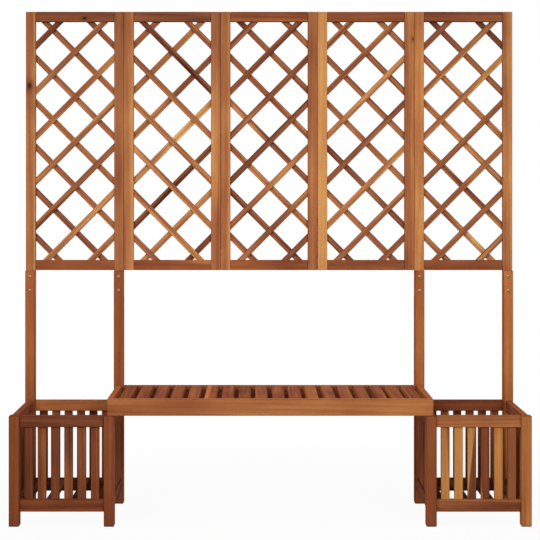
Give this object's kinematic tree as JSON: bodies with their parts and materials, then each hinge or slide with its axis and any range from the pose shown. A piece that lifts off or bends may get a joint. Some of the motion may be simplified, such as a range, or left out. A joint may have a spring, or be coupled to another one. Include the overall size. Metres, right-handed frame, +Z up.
{
  "type": "planter bench with trellis",
  "caption": "Wooden garden bench: a slatted seat laid across two slatted planter boxes, with lattice trellis panels on tall back posts.",
  "frame": {"origin": "on the ground, under the middle of the bench's box", "axes": "+X along the bench to the right, -Y to the front where people sit, +Z up"},
  "size_m": [1.8, 0.41, 1.817],
  "materials": {
    "acacia_russet": "oiled, reddish brown heartwood",
    "acacia_umber": "oiled, dark brown heartwood",
    "acacia_amber": "oiled, orange brown wood with long grain",
    "acacia_honey": "oiled, pale golden sapwood",
    "zinc_yellow": "yellow passivated zinc plate"
  },
  "bodies": {
    "root": {"left_front_outer_leg": "acacia_russet", "left_front_inner_leg": "acacia_russet", "left_back_outer_post": "acacia_russet", "left_back_inner_post": "acacia_russet", "left_front_top_rail": "acacia_umber", "left_back_top_rail": "acacia_russet", "left_outer_top_rail": "acacia_russet", "left_inner_top_rail": "acacia_russet", "left_front_bottom_rail": "acacia_umber", "left_back_bottom_rail": "acacia_umber", "left_outer_bottom_rail": "acacia_russet", "left_inner_bottom_rail": "acacia_russet", "left_wall_slats": "acacia_russet", "left_floor_boards": "acacia_umber", "left_floor_battens": "acacia_umber", "right_front_outer_leg": "acacia_amber", "right_front_inner_leg": "acacia_russet", "right_back_outer_post": "acacia_russet", "right_back_inner_post": "acacia_russet", "right_front_top_rail": "acacia_russet", "right_back_top_rail": "acacia_russet", "right_outer_top_rail": "acacia_russet", "right_inner_top_rail": "acacia_russet", "right_front_bottom_rail": "acacia_umber", "right_back_bottom_rail": "acacia_umber", "right_outer_bottom_rail": "acacia_russet", "right_inner_bottom_rail": "acacia_russet", "right_wall_slats": "acacia_honey", "right_floor_boards": "acacia_umber", "right_floor_battens": "acacia_umber", "seat_front_apron": "acacia_amber", "seat_back_apron": "acacia_amber", "seat_left_end": "acacia_russet", "seat_right_end": "acacia_russet", "seat_slats": "acacia_russet", "seat_battens": "acacia_umber", "panel_1_stiles": "acacia_russet", "panel_1_rails": "acacia_umber", "panel_1_front_strips": "acacia_amber", "panel_1_back_strips": "acacia_russet", "panel_2_stiles": "acacia_amber", "panel_2_rails": "acacia_umber", "panel_2_front_strips": "acacia_amber", "panel_2_back_strips": "acacia_russet", "panel_3_stiles": "acacia_russet", "panel_3_rails": "acacia_umber", "panel_3_front_strips": "acacia_amber", "panel_3_back_strips": "acacia_russet", "panel_4_stiles": "acacia_honey", "panel_4_rails": "acacia_umber", "panel_4_front_strips": "acacia_amber", "panel_4_back_strips": "acacia_russet", "panel_5_stiles": "acacia_honey", "panel_5_rails": "acacia_umber", "panel_5_front_strips": "acacia_amber", "panel_5_back_strips": "acacia_russet", "post_bolts": "zinc_yellow", "post_inserts": "zinc_yellow", "panel_screws": "zinc_yellow", "seat_screws": "zinc_yellow"}
  },
  "joints": []
}
